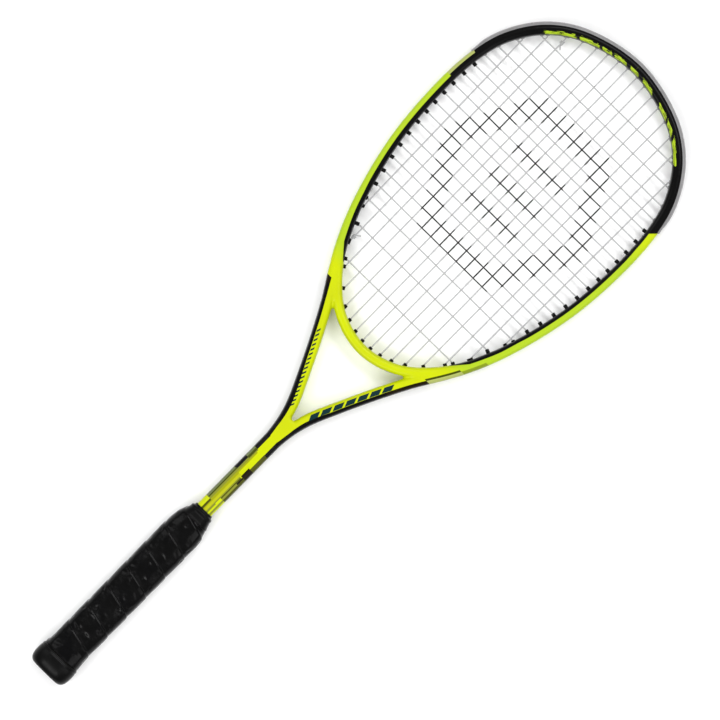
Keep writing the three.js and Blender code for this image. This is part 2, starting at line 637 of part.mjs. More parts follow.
// Clearance round a staple, open to the outside of the handle.
function stapleRoom(side) {
  const { y, crown, tip, top, wire } = STAPLE;
  const [half, room] = [crown / 2, wire / 2 + GAP];
  const [inner, outer] = [side * (tip - GAP), side * (top + 2)];
  const [x0, x1] = [Math.min(inner, outer), Math.max(inner, outer)];
  const crownX = side * (top - room);
  return joined([
    box(x0, x1, y - room, y + room, -half - room, -half + room),
    box(x0, x1, y - room, y + room, half - room, half + room),
    box(Math.min(crownX, outer), Math.max(crownX, outer), y - room, y + room, -half, half),
  ]);
}

const stapleRooms = () => joined([stapleRoom(1), stapleRoom(-1)]);

const handlePallet = () =>
  roundedLoft(PALLET_RINGS).subtract(shaftClearance()).subtract(stapleRooms());

function buttCap() {
  const socket = roundedLoft([{ y: CAP_FLOOR, ...CAP_SOCKET }, { y: 60, ...CAP_SOCKET }]);
  return roundedLoft(CAP_RINGS).subtract(socket).subtract(stapleRooms());
}

const grip = () => roundedLoft(GRIP_RINGS).subtract(roundedLoft(GRIP_BORE_RINGS));
const gripCollar = () =>
  roundedLoft(COLLAR_RINGS).subtract(roundedLoft(GRIP_BORE_RINGS)).subtract(shaftClearance());

// ---- Assembly -------------------------------------------------------------------------------
const FINISH = {
  lacquer: { color: 0xcdec30, roughness: 0.28, metalness: 0 },
  black: { color: 0x141516, roughness: 0.45, metalness: 0 },
  smoke: { color: 0x77787c, roughness: 0.4, metalness: 0 },
  string: { color: 0xdcdacd, roughness: 0.4, metalness: 0 },
  foam: { color: 0xd8c9a0, roughness: 0.9, metalness: 0 },
  wrap: { color: 0x101012, roughness: 0.6, metalness: 0 },
  steel: { color: 0xb9bcc0, roughness: 0.35, metalness: 1 },
};

const racket = new THREE.Group();
racket.name = "squash_racket";

function add(name, manifold, finish) {
  const mesh = new THREE.Mesh(geometryOf(manifold), new THREE.MeshStandardMaterial(FINISH[finish]));
  mesh.name = name;
  racket.add(mesh);
}

add("frame", frame(), "lacquer");
add("throat_bridge", throatBridge(), "lacquer");
add("bumper_guard", bumperGuard(), "smoke");
const rightStrip = grommetStrip();
add("right_grommet_strip", rightStrip, "black");
add("left_grommet_strip", rightStrip.mirror([1, 0, 0]), "black");
MAIN_FEET.slice(0, BRIDGE_MAINS).forEach((end, i) => {
  const grommet = bridgeGrommet(end);
  add(`right_bridge_grommet_${i + 1}`, grommet, "black");
  add(`left_bridge_grommet_${i + 1}`, grommet.mirror([1, 0, 0]), "black");
});
add("main_string", mainString(), "string");
add("cross_string", crossString(), "string");
add("handle_pallet", handlePallet(), "foam");
add("butt_cap", buttCap(), "black");
add("right_cap_staple", staple(1), "steel");
add("left_cap_staple", staple(-1), "steel");
add("grip", grip(), "wrap");
add("grip_collar", gripCollar(), "black");

export default racket;
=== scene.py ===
"""A strung squash racket lying on a pale floor, seen from straight above.

Lengths are in millimetres until a mesh is made. The racket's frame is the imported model's:
+Y from the butt to the head, +Z out of the string bed, the butt cap's flat end at y = 0.
"""

import math

import bmesh
import bpy
import numpy as np
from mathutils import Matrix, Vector, noise


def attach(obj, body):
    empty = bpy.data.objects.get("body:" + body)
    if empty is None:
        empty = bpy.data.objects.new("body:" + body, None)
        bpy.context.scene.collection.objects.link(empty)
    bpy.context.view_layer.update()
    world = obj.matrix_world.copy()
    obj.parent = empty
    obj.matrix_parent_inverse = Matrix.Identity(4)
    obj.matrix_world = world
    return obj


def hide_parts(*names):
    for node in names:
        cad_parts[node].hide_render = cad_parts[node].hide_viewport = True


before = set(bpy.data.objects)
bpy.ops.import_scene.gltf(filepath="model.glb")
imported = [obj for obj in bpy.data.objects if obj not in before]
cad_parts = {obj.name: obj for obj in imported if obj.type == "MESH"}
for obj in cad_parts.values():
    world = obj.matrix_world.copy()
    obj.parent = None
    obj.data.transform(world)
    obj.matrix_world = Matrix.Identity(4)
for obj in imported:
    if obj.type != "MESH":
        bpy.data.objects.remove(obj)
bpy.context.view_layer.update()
MM = 0.001

# ---- Driving dimensions ---------------------------------------------------------------------
# Half of the tube's centreline from the top of the head to the shaft: x, y, half width, half depth.
TUBE = [
    (0, 679.6, 4.5, 9.0), (48.2, 669.0, 4.5, 9.0), (74.8, 650.8, 4.5, 9.0), (93.0, 624.0, 4.5, 9.0),
    (100.6, 596.7, 4.5, 9.0), (103.0, 558.0, 4.5, 9.0), (98.7, 501.8, 4.5, 9.0),
    (84.3, 444.5, 4.6, 9.0), (68.0, 407.0, 4.9, 9.2), (44.8, 368.1, 5.0, 9.4),
    (19.7, 317.5, 5.0, 9.5), (7.6, 288.6, 5.0, 9.5), (4.1, 266.0, 4.0, 9.5), (3.7, 235.0, 3.9, 9.5),
]
# 2 is an ellipse, higher is squarer.
TUBE_SQUARENESS, SHAFT_SQUARENESS, HANDLE_SQUARENESS = 3.3, 3.8, 2.8
RING_POINTS, BARREL_SIDES = 96, 20
# Half of the throat bridge's centreline, from its middle into the tube.
BRIDGE = [
    (0, 363.7, 4.4, 8.8), (31.2, 371.7, 4.4, 8.8), (54.8, 391.4, 4.4, 8.8),
    (70.0, 412.6, 4.4, 8.8), (81.0, 437.0, 4.1, 8.4),
]
# The shaft below the fork: y, half width, half depth.
SHAFT = [(8, 7.6, 9.5), (240, 7.6, 9.5), (262, 7.7, 9.5), (272, 8.4, 9.45), (284, 8.6, 9.3)]

# Half of the main strings, x at the top and at the foot, and the cross strings, y.
MAINS = [
    (5.1, 4.5), (14.2, 13.8), (24.4, 23.5), (34.4, 33.7),
    (45.8, 44.6), (57.7, 56.3), (69.3, 67.8), (82.0, 79.6),
]
CROSSES = [
    645, 629, 614.8, 602.4, 591, 580, 568.4, 557.9, 547.5, 537.2, 526.4, 514.8, 503.4, 491.9,
    479.4, 467.4, 453.9, 433.9, 407.1,
]
# This many mains end in the bridge, and up to this many where it runs into the tube.
BRIDGE_MAINS, HORN_MAINS = 4, 6
TIE_TOP, TIE_FOOT, TIGHT_CROSS = 5, 6, 16  # mains that hold a tie-off, cross with short barrels
# How far the barrels' mouths stand out of the inner wall.
PROUD = {"bumper": 1.0, "side": 2.6, "bridge": 1.2, "tight": 0.7}
# Depths are below the outer flank, halves are either side of the string plane.
GROOVE_DEPTH, GROOVE_HALF = 2.8, 3.4
STRIP_TOP, STRIP_FLOOR, STRIP_HALF = 1.9, 2.5, 3.1
LOOP_DEPTH, TURN_DEPTH, TURN_REACH, LOOP_SIDE = 0.7, 1.0, 2.2, 1.3
STRING_RADIUS, WEAVE = 0.6, 1.22
# A tie-off takes a wider barrel. Its main string lies to one side, then settles into the plane.
BARREL_RADIUS, BORE_RADIUS, TIE_EXTRA, TIE_SHIFT, SETTLE = 1.6, 1.05, 0.95, 0.85, 7
HITCH = {"start": 3.4, "pitch": 1.35, "turns": 2.5, "radius": 1.3}
BUMPER_END_Y, STRIP_END_Y = 596.5, 371
BRIDGE_GROOVE_END = 37.5  # along the bridge from its middle
BUMPER_PROUD, CHANNEL_HALF = 1.9, 2.3
BARREL_EXTRA = {"bumper": -0.4, "side": 0.3, "bridge": 0.9}  # barrel's lip past the string's bend
VOXEL = 0.75


# ---- Curves and meshes ----------------------------------------------------------------------
def catmull_rom(points, steps):
    """Rows on the centripetal curve through rows of points, spaced by their first two columns."""
    points = np.asarray(points, float)
    rows = np.vstack([2 * points[0] - points[1], points, 2 * points[-1] - points[-2]])
    found = []
    for i in range(1, len(rows) - 2):
        four = rows[i - 1 : i + 3]
        gaps = np.sqrt(np.linalg.norm(np.diff(four[:, :2], axis=0), axis=1))
        k = np.concatenate([[0], np.cumsum(gaps)])
        t = np.linspace(k[1], k[2], steps, endpoint=False)[:, None]

        def mix(a, b, ka, kb):
            return ((kb - t) * a + (t - ka) * b) / (kb - ka)

        a = [mix(four[j], four[j + 1], k[j], k[j + 1]) for j in range(3)]
        b = [mix(a[j], a[j + 1], k[j], k[j + 2]) for j in range(2)]
        found.append(mix(b[0], b[1], k[1], k[2]))
    return np.vstack([*found, points[-1:]])


class Path:
    """A mirrored centreline in the string plane. s is the length along it from its middle, in
    mm: positive on the +X side. "outward" is +1 where the outside lies left of the +X half."""

    def __init__(self, stations, outward):
        stations = np.asarray(stations, float)
        mirrored = stations[:0:-1] * [-1, 1, 1, 1]
        rows = catmull_rom(np.vstack([mirrored, stations]), 60)
        rows = rows[len(rows) // 2 :]
        rows[0, 0] = 0
        steps = np.linalg.norm(np.diff(rows[:, :2], axis=0), axis=1)
        self.s = np.concatenate([[0], np.cumsum(steps)])
        self.rows = rows
        tangent = np.gradient(rows[:, :2], self.s, axis=0)
        tangent /= np.linalg.norm(tangent, axis=1)[:, None]
        tangent[0] = (1, 0)
        self.out = np.stack([-tangent[:, 1], tangent[:, 0]], 1) * outward
        self.length = self.s[-1]

    def at(self, s):
        """Centre x, y, outward x, y, half width and half depth at s."""
        columns = [*self.rows[:, :2].T, *self.out.T, *self.rows[:, 2:].T]
        place = np.array([np.interp(abs(s), self.s, c) for c in columns])
        if s < 0:
            place[[0, 2]] *= -1
        return place

    def point(self, s, across, up=0.0):
        """The point so far outwards and up at s."""
        x, y, ox, oy, _, _ = self.at(s)
        return np.array([x + ox * across, y + oy * across, up])

    def flank(self, s, depth, up=0.0):
        """The point so far below the outer flank at s."""
        return self.point(s, self.at(s)[4] - depth, up)

    def solve(self, measure, s0, s1):
        """The s between s0 and s1 where measure(s) crosses zero."""
        rising = measure(s1) > measure(s0)
        for _ in range(40):
            middle = (s0 + s1) / 2
            if (measure(middle) > 0) == rising:
                s1 = middle
            else:
                s0 = middle
        return (s0 + s1) / 2

    def s_at_y(self, y):
        """The s on the +X side at height y, on a path that only comes down."""
        return float(np.interp(-y, -self.rows[:, 1], self.s))


tube = Path(TUBE, 1)
bridge = Path(BRIDGE, -1)
BUMPER_END = tube.s_at_y(BUMPER_END_Y)
STRIP_END = tube.s_at_y(STRIP_END_Y)


def mesh_object(name, vertices, faces, smooth=True):
    """A new object from vertices in mm, with its faces turned outwards."""
    mesh = bpy.data.meshes.new(name)
    mesh.from_pydata((np.asarray(vertices) * MM).tolist(), [], [list(map(int, f)) for f in faces])
    bm = bmesh.new()
    bm.from_mesh(mesh)
    bmesh.ops.recalc_face_normals(bm, faces=bm.faces)
    bm.to_mesh(mesh)
    bm.free()
    mesh.polygons.foreach_set("use_smooth", [smooth] * len(mesh.polygons))
    thing = bpy.data.objects.new(name, mesh)
    bpy.context.scene.collection.objects.link(thing)
    return thing


def tube_faces(rings, sides, loop=False):
    """Faces of a row of rings, each with so many sides: capped, or joined up into a loop."""
    r = np.arange(rings if loop else rings - 1)[:, None]
    k = np.arange(sides)[None, :]
    a, b = r * sides + k, r * sides + (k + 1) % sides
    c, d = ((r + 1) % rings) * sides + (k + 1) % sides, ((r + 1) % rings) * sides + k
    faces = np.stack([a, b, c, d], -1).reshape(-1, 4).tolist()
    if not loop:
        faces.append(list(range(sides))[::-1])
        faces.append(list(range((rings - 1) * sides, rings * sides)))
    return faces


def gathered(parts):
    """Several (vertices, faces) as one."""
    vertices, faces, start = [], [], 0
    for v, f in parts:
        vertices.append(np.asarray(v))
        faces.extend([[i + start for i in face] for face in f])
        start += len(v)
    return np.vstack(vertices), faces


def sweep(path, s0, s1, section, spacing=1.5):
    """Vertices and faces of section(place, s), a ring of (across, up), carried from s0 to s1."""
    rings = []
    for s in np.linspace(s0, s1, max(2, int(abs(s1 - s0) / spacing) + 1)):
        x, y, ox, oy, *_ = place = path.at(s)
        ring = section(place, s)
        rings.append(np.stack([x + ox * ring[:, 0], y + oy * ring[:, 0], ring[:, 1]], 1))
    return np.vstack(rings), tube_faces(len(rings), len(rings[0]))


def rounded(half_x, half_y, squareness, points):
    """A ring of points on a rounded rectangle."""
    angle = (np.arange(points) + 0.5) * 2 * math.pi / points
    c, s = np.cos(angle), np.sin(angle)
    reach = (abs(c) ** squareness + abs(s) ** squareness) ** (-1 / squareness)
    return np.stack([half_x * c * reach, half_y * s * reach], 1)


def smoothstep(value, low, high):
    t = np.clip((value - low) / (high - low), 0, 1)
    return t * t * (3 - 2 * t)


def cord(points, radius, sides=12):
    """Vertices and faces of a round cord through the points, with rounded ends."""
    points = np.asarray(points, float)
    keep = np.concatenate([[True], np.linalg.norm(np.diff(points, axis=0), axis=1) > 1e-4])
    points = points[keep]
    direction = np.gradient(points, axis=0)
    direction /= np.linalg.norm(direction, axis=1)[:, None]
    up = np.array([0.0, 0.0, 1.0])
    rings, angle = [], np.arange(sides) * 2 * math.pi / sides
    for p, d in zip(points, direction):
        up = up - d * np.dot(up, d)
        up /= np.linalg.norm(up)
        side = np.cross(d, up)
        rings.append(p + radius * (np.outer(np.cos(angle), up) + np.outer(np.sin(angle), side)))
    first, last = rings[0], rings[-1]
    inner = points[0] + (first - points[0]) * 0.6 - direction[0] * radius * 0.45
    outer = points[-1] + (last - points[-1]) * 0.6 + direction[-1] * radius * 0.45
    rings = [inner, *rings, outer]
    return np.vstack(rings), tube_faces(len(rings), sides)


def softened(corners, radius, steps=5):
    """The polyline through the corners, with each corner rounded off."""
    corners = np.asarray(corners, float)
    points = [corners[0]]
    for before, corner, after in zip(corners[:-2], corners[1:-1], corners[2:]):
        back, on = before - corner, after - corner
        reach = min(radius, np.linalg.norm(back) * 0.48, np.linalg.norm(on) * 0.48)
        start = corner + back / np.linalg.norm(back) * reach
        end = corner + on / np.linalg.norm(on) * reach
        for t in np.linspace(0, 1, steps):
            points.append((1 - t) ** 2 * start + 2 * t * (1 - t) * corner + t * t * end)
    points.append(corners[-1])
    return np.array(points)


def applied(thing):
    """Bakes an object's modifiers into its mesh."""
    graph = bpy.context.evaluated_depsgraph_get()
    graph.update()
    mesh = bpy.data.meshes.new_from_object(thing.evaluated_get(graph))
    thing.modifiers.clear()
    thing.data = mesh
    return thing


# ---- Materials ------------------------------------------------------------------------------
class Value:
    """A number carried by shader nodes, so that sums and comparisons can be written plainly."""

    def __init__(self, nodes, socket):
        self.nodes, self.socket = nodes, socket

    def _math(self, operation, *others, clamp=False):
        node = self.nodes.new("ShaderNodeMath")
        node.operation = operation
        node.use_clamp = clamp
        links = self.nodes.id_data.links
        links.new(self.socket, node.inputs[0])
        for slot, other in enumerate(others, 1):
            if isinstance(other, Value):
                links.new(other.socket, node.inputs[slot])
            else:
                node.inputs[slot].default_value = other
        return Value(self.nodes, node.outputs[0])

    def __add__(self, other):
        return self._math("ADD", other)

    def __sub__(self, other):
        return self._math("SUBTRACT", other)

    def __mul__(self, other):
        return self._math("MULTIPLY", other)

    def __or__(self, other):
        return self._math("MAXIMUM", other)

    def __abs__(self):
        return self._math("ABSOLUTE")

    def off(self):
        """One minus this."""
        return (self * -1) + 1

    def above(self, edge, soft=0.12):
        """1 where this is above the edge, 0 below, with a thin soft border."""
        return (self - edge)._math("MULTIPLY_ADD", 1 / soft, 0.5, clamp=True)

    def below(self, edge, soft=0.12):
        return self.above(edge, soft).off()

    def between(self, low, high, soft=0.12):
        return self.above(low, soft) * self.below(high, soft)

    def ranged(self, low, high, to_low, to_high):
        """This value carried from one range to another, held at both ends."""
        share = (self - low)._math("MULTIPLY", 1 / (high - low), clamp=True)
        return share * (to_high - to_low) + to_low

    def stripes(self, low, high, edges):
        """Turns on at the first edge, off at the next, and so on."""
        ramp = self.nodes.new("ShaderNodeValToRGB")
        ramp.color_ramp.interpolation = "CONSTANT"
        self.nodes.id_data.links.new(self.ranged(low, high, 0, 1).socket, ramp.inputs[0])
        stops = ramp.color_ramp.elements
        stops[0].position, stops[0].color = 0, (0, 0, 0, 1)
        stops.remove(stops[1])
        for i, edge in enumerate(edges):
            shade = 1.0 - i % 2
            stops.new((edge - low) / (high - low)).color = (shade, shade, shade, 1)
        return Value(self.nodes, ramp.outputs[0])

    def repeating(self, first, last, pitch, length):
        """Equal marks at equal steps."""
        step = (self - first)._math("FLOORED_MODULO", pitch)
        return step.below(length) * self.between(first, last)


class Finish:
    """A material under construction: a principled shader with helpers for what feeds it."""

    def __init__(self, name, **settings):
        self.material = bpy.data.materials.new(name)
        self.material.use_nodes = True
        self.nodes = self.material.node_tree.nodes
        self.links = self.material.node_tree.links
        self.shader = self.nodes["Principled BSDF"]
        for socket, value in settings.items():
            self.shader.inputs[socket.replace("_", " ")].default_value = value
        self.place = self.nodes.new("ShaderNodeTexCoord").outputs["Object"]
        self.height = None

    def coordinates(self):
        """x, y and z in mm."""
        split = self.nodes.new("ShaderNodeSeparateXYZ")
        self.links.new(self.place, split.inputs[0])
        return [Value(self.nodes, out) * 1000 for out in split.outputs]

    def attribute(self, name):
        node = self.nodes.new("ShaderNodeAttribute")
        node.attribute_name = name
        return Value(self.nodes, node.outputs["Fac"])

    def _noise_at(self, place, scale, detail):
        node = self.nodes.new("ShaderNodeTexNoise")
        node.inputs["Scale"].default_value = scale
        node.inputs["Detail"].default_value = detail
        self.links.new(place, node.inputs["Vector"])
        return Value(self.nodes, node.outputs["Fac"])

    def noise(self, scale, detail=3):
        return self._noise_at(self.place, scale, detail)

    def streaks(self, along, across, length, width):
        """Noise drawn out along the tube: strokes of about this length and width in mm."""
        join = self.nodes.new("ShaderNodeCombineXYZ")
        self.links.new((along * (1 / length)).socket, join.inputs[0])
        self.links.new((across * (1 / width)).socket, join.inputs[1])
        return self._noise_at(join.outputs[0], 1, 2)

    def cells(self, scale):
        node = self.nodes.new("ShaderNodeTexVoronoi")
        node.inputs["Scale"].default_value = scale
        self.links.new(self.place, node.inputs["Vector"])
        return Value(self.nodes, node.outputs["Distance"])

    def layered(self, base, *layers):
        """The base colour with (mask, colour) layers laid over it in turn."""
        current = None
        for mask, colour in layers:
            mix = self.nodes.new("ShaderNodeMix")
            mix.data_type = "RGBA"
            self.links.new(mask.socket, mix.inputs["Factor"])
            if current is None:
                self._colour(mix.inputs[6], base)
            else:
                self.links.new(current, mix.inputs[6])
            self._colour(mix.inputs[7], colour)
            current = mix.outputs[2]
        return current

    def _colour(self, socket, colour):
        if isinstance(colour, tuple):
            socket.default_value = (*colour, 1)
        else:
            self.links.new(colour, socket)

    def paint(self, socket):
        self.links.new(socket, self.shader.inputs["Base Color"])

    def rough(self, value):
        self.links.new(value.socket, self.shader.inputs["Roughness"])

    def bump(self, value, strength, distance):
        node = self.nodes.new("ShaderNodeBump")
        node.inputs["Strength"].default_value = strength
        node.inputs["Distance"].default_value = distance * MM
        self.links.new(value.socket, node.inputs["Height"])
        self.links.new(node.outputs[0], self.shader.inputs["Normal"])


STAGE_LIGHT = 1.6  # how much brighter than white the stage is lit


def tone(red, green, blue):
    """The paint that looks like this colour, out of 255, on the lit stage."""
    return tuple((c / 255) ** 2.2 / STAGE_LIGHT for c in (red, green, blue))


LIME, YELLOW, PALE_LIME = tone(197, 230, 50), tone(230, 246, 20), tone(196, 206, 116)
BLACK, TEAL, BROWN = (0.0018, 0.0018, 0.0018), tone(28, 58, 62), tone(38, 30, 10)
OLIVE, SAGE, MOSS = tone(152, 172, 44), tone(124, 136, 92), tone(76, 84, 16)
STRAW, MUSTARD, GOLD = tone(152, 158, 55), tone(180, 184, 30), tone(208, 212, 38)
UMBER = tone(88, 90, 28)

# Painted bands on the shaft: x from, x to, y from, y to, colour.
SHAFT_BANDS = [
    (-9, -3.6, 248, 263, BLACK), (3.7, 9, 248, 263, BLACK), (-9, -5.5, 238, 248, SAGE),
    (-5.5, -3.4, 226, 248, MOSS), (-9, -4.4, 225, 238, BLACK), (-9, -5.6, 193, 225, SAGE),
    (-5.6, -4.4, 193, 226, MOSS), (-4.4, -2.6, 193, 238, STRAW), (-3.4, -2.6, 238, 248, STRAW),
    (-2.6, -0.6, 183, 224, MUSTARD), (-2.6, -1.4, 224, 246, MUSTARD), (-0.6, 1.6, 183, 224, GOLD),
    (1.6, 2.6, 193, 222, STRAW), (2.6, 3.6, 199, 222, UMBER), (3.6, 5.2, 199, 216, STRAW),
    (3.6, 5.2, 216, 223, BROWN), (5.2, 9, 199, 223, UMBER), (2.1, 9, 223, 232, BROWN),
    (3.5, 9, 232, 248, UMBER), (-3.4, -1.6, 183, 193, UMBER), (1.6, 3.4, 183, 193, STRAW),
    (4.8, 6.4, 183, 199, STRAW),
]
# Where lime dashes start and end across the top of the head: x.
DASHES = [-76, -55, -53, -37, -34, -25, -23, -11, -7, 2, 7, 20, 31, 42, 45, 54, 58, 76]
DASH_DEPTH = 6.2  # they stay this far from the string plane, off the hoop's inner wall
BLOCKS = {"first": 294, "last": 360, "pitch": 9.5, "length": 7.6}
TICKS = {"first": 292, "last": 353, "pitch": 3.6, "length": 1.7}


def hoop_graphics(f, x, y, z, across):
    """Layers for the hoop: its black inner line, the black head and the brushed lime dashes.
    Across counts outwards from the tube's centreline, and the inner line ends at inner_edge."""
    right, left, hoop = x.above(0), x.below(0), f.attribute("on_tube") * y.above(400, 2)
    inner_edge = (y.ranged(404, 416, -5.4, -1.6) + y.ranged(416, 465, 0, 1.6) + left * 0.6
                  + right * (y.ranged(440, 455, 0, -0.4) + y.ranged(562, 575, 0, -0.4))
                  + y.ranged(440, 455, 0, -0.4) - 0.35)
    inner = hoop * (across - inner_edge).below(0, 0.3)
    head_right = right * (y - across * 0.9).above(593)
    head_left = left * ((y - across * 0.5).above(597) | (y.above(571) * across.below(1.45)))
    strokes = f.streaks(f.attribute("along"), across, 6, 0.5)
    edge = strokes * 5.5 - 4.5
    dashes = x + across * 0.9 + strokes * 5
    dashes = dashes.stripes(-120, 120, [v + 2.5 for v in DASHES]) * y.above(645)
    dashes = dashes * (across - edge).below(0, 0.2) * strokes.above(0.43, 0.03)
    dashes = dashes * abs(z).above(DASH_DEPTH, 0.5)
    pale = hoop * left * y.between(571, 599) * across.above(1.4)
    sunny = hoop * right * y.ranged(562, 584, 0, 0.7)
    return [(sunny, YELLOW), (pale, PALE_LIME), (inner, BLACK), (head_right | head_left, BLACK),
            (dashes, LIME)]


def leg_graphics(f, x, y, across):
    """Layers for the throat legs: dark outer strips, and rows of plain slanted marks."""
    right, left, on_tube = x.above(0), x.below(0), f.attribute("on_tube")
    leg = on_tube * y.between(262, 392, 0.5)
    edge_left = y.ranged(262, 272, 0.05, 0.6) + y.ranged(296, 330, 0, 1.0)
    edge_left = edge_left + y.ranged(372, 388, 0, -0.8)
    strip_left = leg * left * y.below(388) * (across - edge_left).above(0)
    edge_right = y.ranged(262, 274, 0.05, 0.75) + y.ranged(290, 310, 0, 0.65)
    strip_right = leg * right * y.below(382) * (across - edge_right).above(0)
    brown_right = strip_right * y.above(352)
    brown_left = strip_left * y.above(383)
    side = on_tube * right
    olive = side * y.between(407, 426) * across.above(1.6)
    pale = side * y.between(382, 407) * across.above(1.6)
    hairline = side * y.between(382, 407) * across.between(-0.1, 1.6)
    slant = y + across * 1.3
    blocks = leg * right * slant.repeating(**BLOCKS) * across.between(-2.7, 1.2)
    ticks = leg * left * slant.repeating(**TICKS) * across.between(-1.4, 1.2)
    return [(olive, OLIVE), (pale, PALE_LIME), (hairline, MOSS), (ticks, TEAL),
            (strip_left, BLACK), (strip_right, BLACK), (brown_right | brown_left, BROWN),
            (blocks, TEAL)]


def lacquer():
    """The frame's paint: lime hoop, yellow throat and shaft, black head with lime dashes, dark
    edge strips and plain geometric trim, all under clear lacquer."""
    f = Finish("frame_lacquer", Roughness=0.3, Specular_IOR_Level=0.06, Coat_Weight=0.05,
               Coat_Roughness=0.06)
    x, y, z = f.coordinates()
    across = f.attribute("across")
    bands = [(x.between(x0, x1) * y.between(y0, y1), colour)
             for x0, x1, y0, y1, colour in SHAFT_BANDS]
    hue = (f.noise(35, 3).ranged(0.35, 0.7, 0, 0.35), GOLD)
    f.paint(f.layered(
        YELLOW, hue, (y.ranged(398, 412, 0, 1), LIME), *bands,
        *leg_graphics(f, x, y, across), *hoop_graphics(f, x, y, z, across),
    ))
    f.rough(f.noise(60, 4) * 0.12 + 0.22)
    f.bump(f.noise(900, 2), 0.04, 0.2)
    return f.material


def moulded(name, colour, roughness, grain, **settings):
    """Moulded plastic or rubber with a fine eggshell texture and slight mottling."""
    f = Finish(name, **settings)
    mottle = f.noise(90, 4)
    lighter = tuple(c * 1.25 + 0.002 for c in colour)
    f.paint(f.layered(colour, (mottle.ranged(0.4, 0.75, 0, 1), lighter)))
    f.rough(f.noise(240, 3) * 0.18 + (roughness - 0.09))
    f.bump(f.noise(1800, 3), grain, 0.12)
    return f.material


def string_finish():
    """Off-white coated string, inked in the middle of the bed with a plain hexagon and bars."""
    f = Finish("string", Roughness=0.32, Specular_IOR_Level=0.3)
    x, y, _ = f.coordinates()
    from_middle = y - 540
    hexagon = abs(from_middle) | (abs(x) * 0.93 + abs(from_middle) * 0.5)
    bars = from_middle.stripes(-40, 40, [-33, -21, -6, 6, 21, 33]) * abs(x).below(26)
    ink = hexagon.between(55, 73) | bars
    fibres = f.noise(700, 3).ranged(0.35, 0.7, 0, 1)
    base = f.layered(tone(200, 201, 202), (fibres, tone(217, 217, 217)))
    f.paint(f.layered(base, (ink, BLACK)))
    f.bump(f.noise(2500, 2), 0.08, 0.05)
    return f.material


def wrap_finish():
    """Black synthetic leather: tacky sheen, fine pores and a faint grain."""
    f = Finish("grip_wrap", Specular_IOR_Level=0.09)
    mottle = f.noise(55, 5)
    f.paint(f.layered(BLACK, (mottle.ranged(0.45, 0.8, 0, 1), tone(14, 14, 16))))
    f.rough(f.noise(130, 4) * 0.24 + 0.1)
    f.bump(f.cells(900) * 0.6 + f.noise(1500, 3) * 0.4, 0.2, 0.1)
    return f.material


def floor_finish():
    f = Finish("floor", Roughness=0.6)
    f.paint(f.layered((0.93, 0.93, 0.93), (f.noise(3, 2), (0.96, 0.96, 0.96))))
    return f.material


def finish_with(thing, material, slot, *nodes):
    """Gives a finished piece its material, its body and the nodes that it replaces. The slot is not
    used.
    """
    thing.data.materials.clear()
    thing.data.materials.append(material)
    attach(thing, "root")
    if nodes:
        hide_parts(*nodes)
    return thing


# ---- Frame ----------------------------------------------------------------------------------
def grooved_section(end, fade):
    """A rounded box with the string groove in its outer flank, which runs out round the end."""

    def section(place, s):
        half_width, half_depth = place[4:]
        ring = rounded(half_width, half_depth, TUBE_SQUARENESS, RING_POINTS)
        there = 1 - smoothstep(abs(s), end - fade, end + fade)
        inside = 1 - smoothstep(abs(ring[:, 1]), GROOVE_HALF - 0.35, GROOVE_HALF + 0.35)
        cut = GROOVE_DEPTH * inside
        ring[:, 0] = np.where(ring[:, 0] > 0, ring[:, 0] - cut * there, ring[:, 0])
        return ring

    return section


def shaft_solid():
    stations = np.array(SHAFT, float)
    ys = np.arange(stations[0, 0], stations[-1, 0] + 0.1, 2.0)
    rings = []
    for y in ys:
        half_x = np.interp(y, stations[:, 0], stations[:, 1])
        half_z = np.interp(y, stations[:, 0], stations[:, 2])
        rings.append(np.insert(rounded(half_x, half_z, SHAFT_SQUARENESS, RING_POINTS), 1, y, axis=1))
    return np.vstack(rings), tube_faces(len(rings), RING_POINTS)


def tube_coordinates(points):
    """For each point, the length along the tube and the distance across it, and 1 on the tube's
    own surface or 0 on the throat bridge's."""
    centres, out = tube.rows[:, :2], tube.out
    flat = np.stack([np.abs(points[:, 0]), points[:, 1]], 1)
    nearest = np.empty(len(points), int)
    for start in range(0, len(points), 20000):
        block = flat[start : start + 20000]
        gaps = np.linalg.norm(block[:, None] - centres[None, ::4], axis=2)
        nearest[start : start + 20000] = gaps.argmin(1) * 4
    across = ((flat - centres[nearest]) * out[nearest]).sum(1)
    y = points[:, 1]
    bridge_side = (y > 355) & (y < 404) & ((across < -3.2) | (across > 5.4))
    return tube.s[nearest] * np.sign(points[:, 0]), across, np.where(bridge_side, 0.0, 1.0)


def mesh_points(mesh):
    """A mesh's vertices in mm."""
    points = np.empty(len(mesh.vertices) * 3)
    mesh.vertices.foreach_get("co", points)
    return points.reshape(-1, 3) / MM


# Where parts of the frame run into each other: x and y, and the distances at which the blend
# starts to fade and is gone.
BLENDS = [((35.5, 365.3), 9, 15), ((0, 284), 10, 18), ((62, 404), 6, 12), ((58, 400), 8, 14)]


def blend_at(points):
    """How far each point of the frame is smoothed: 1 where parts meet, 0 away from there."""
    flat = np.abs(points[:, :2])
    blend = np.zeros(len(points))
    for corner, near, far in BLENDS:
        blend = np.maximum(blend, 1 - smoothstep(np.linalg.norm(flat - corner, axis=1), near, far))
    _, across, _ = tube_coordinates(points)
    y = points[:, 1]
    horn = (across < -1) * smoothstep(y, 372, 378) * (1 - smoothstep(y, 436, 446))
    return np.maximum(blend, horn)


def neighbours_mean(mesh):
    """A function that averages a value over the vertices that each vertex shares an edge with."""
    edges = np.empty(len(mesh.edges) * 2, int)
    mesh.edges.foreach_get("vertices", edges)
    a, b = edges.reshape(-1, 2).T
    count = np.bincount(np.concatenate([a, b]), minlength=len(mesh.vertices))[:, None]

    def mean(values):
        total = np.zeros_like(values)
        np.add.at(total, a, values[b])
        np.add.at(total, b, values[a])
        return total / count

    return mean


